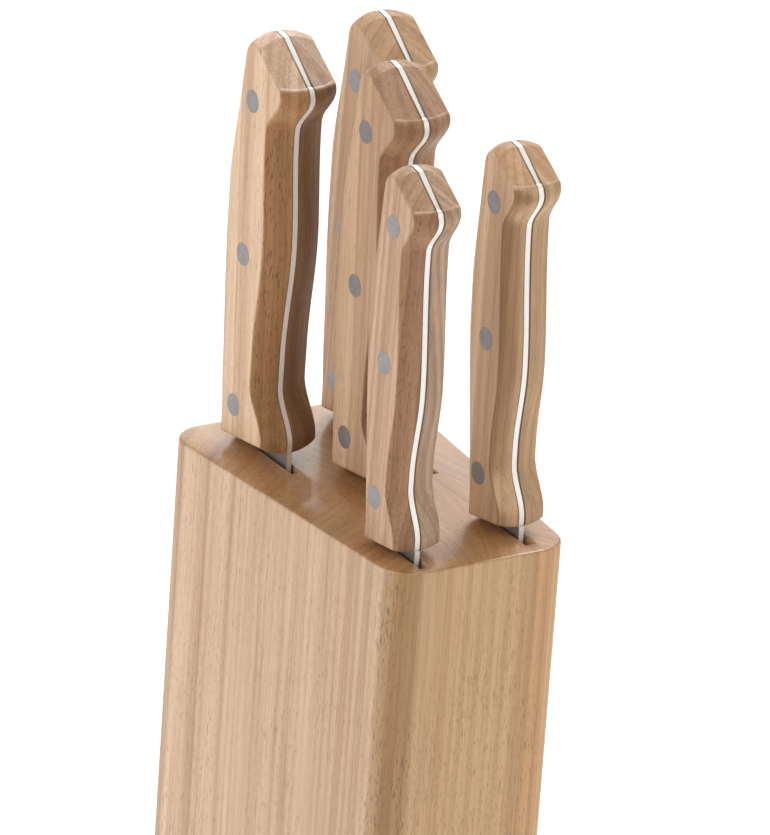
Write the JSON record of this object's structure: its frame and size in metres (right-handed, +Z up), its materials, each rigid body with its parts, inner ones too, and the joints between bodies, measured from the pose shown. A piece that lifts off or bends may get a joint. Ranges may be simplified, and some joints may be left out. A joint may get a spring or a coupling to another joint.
{
  "type": "knife block with knives",
  "caption": "Leaning beech knife block with rounded corners and rows of slots, holding riveted full-tang kitchen knives with beech scales and hooked butts; each knife lifts out along its slot.",
  "frame": {"origin": "centre of the underside of the base pad, where the block stands", "axes": "+Z up; -Y is the block's narrow front, towards which the block and its knives lean and their cutting edges face; X across the block"},
  "size_m": [0.0712, 0.1434, 0.3624],
  "materials": {
    "block_beech": "oiled steamed beech, fine short flecks, satin",
    "handle_beech": "oiled beech, smooth, satin",
    "blade_steel": "ground stainless steel, polished tang edge",
    "rivet_metal": "flush sanded rivet ends, matt grey",
    "base_pad": "matt black non-slip sheet"
  },
  "bodies": {
    "block": {"board_outer_left": "block_beech", "board_inner_left": "block_beech", "board_inner_right": "block_beech", "board_outer_right": "block_beech", "base_pad": "base_pad"},
    "bread_knife": {"bread_blade": "blade_steel", "bread_scale_left": "handle_beech", "bread_scale_right": "handle_beech", "bread_rivet_low": "rivet_metal", "bread_rivet_middle": "rivet_metal", "bread_rivet_top": "rivet_metal"},
    "chef_knife": {"chef_blade": "blade_steel", "chef_scale_left": "handle_beech", "chef_scale_right": "handle_beech", "chef_rivet_low": "rivet_metal", "chef_rivet_middle": "rivet_metal", "chef_rivet_top": "rivet_metal"},
    "carving_knife": {"carving_blade": "blade_steel", "carving_scale_left": "handle_beech", "carving_scale_right": "handle_beech", "carving_rivet_low": "rivet_metal", "carving_rivet_middle": "rivet_metal", "carving_rivet_top": "rivet_metal"},
    "paring_knife": {"paring_blade": "blade_steel", "paring_scale_left": "handle_beech", "paring_scale_right": "handle_beech", "paring_rivet_low": "rivet_metal", "paring_rivet_middle": "rivet_metal", "paring_rivet_top": "rivet_metal"},
    "utility_knife": {"utility_blade": "blade_steel", "utility_scale_left": "handle_beech", "utility_scale_right": "handle_beech", "utility_rivet_low": "rivet_metal", "utility_rivet_middle": "rivet_metal", "utility_rivet_top": "rivet_metal"}
  },
  "joints": [
    {"name": "bread_lift", "type": "slide", "parent": "block", "child": "bread_knife", "axis": [0, -0.1271, 0.9919], "range_m": [0, 0.225]},
    {"name": "chef_lift", "type": "slide", "parent": "block", "child": "chef_knife", "axis": [0, -0.1271, 0.9919], "range_m": [0, 0.225]},
    {"name": "carving_lift", "type": "slide", "parent": "block", "child": "carving_knife", "axis": [0, -0.1271, 0.9919], "range_m": [0, 0.215]},
    {"name": "paring_lift", "type": "slide", "parent": "block", "child": "paring_knife", "axis": [0, -0.1271, 0.9919], "range_m": [0, 0.12]},
    {"name": "utility_lift", "type": "slide", "parent": "block", "child": "utility_knife", "axis": [0, -0.1271, 0.9919], "range_m": [0, 0.15]}
  ]
}
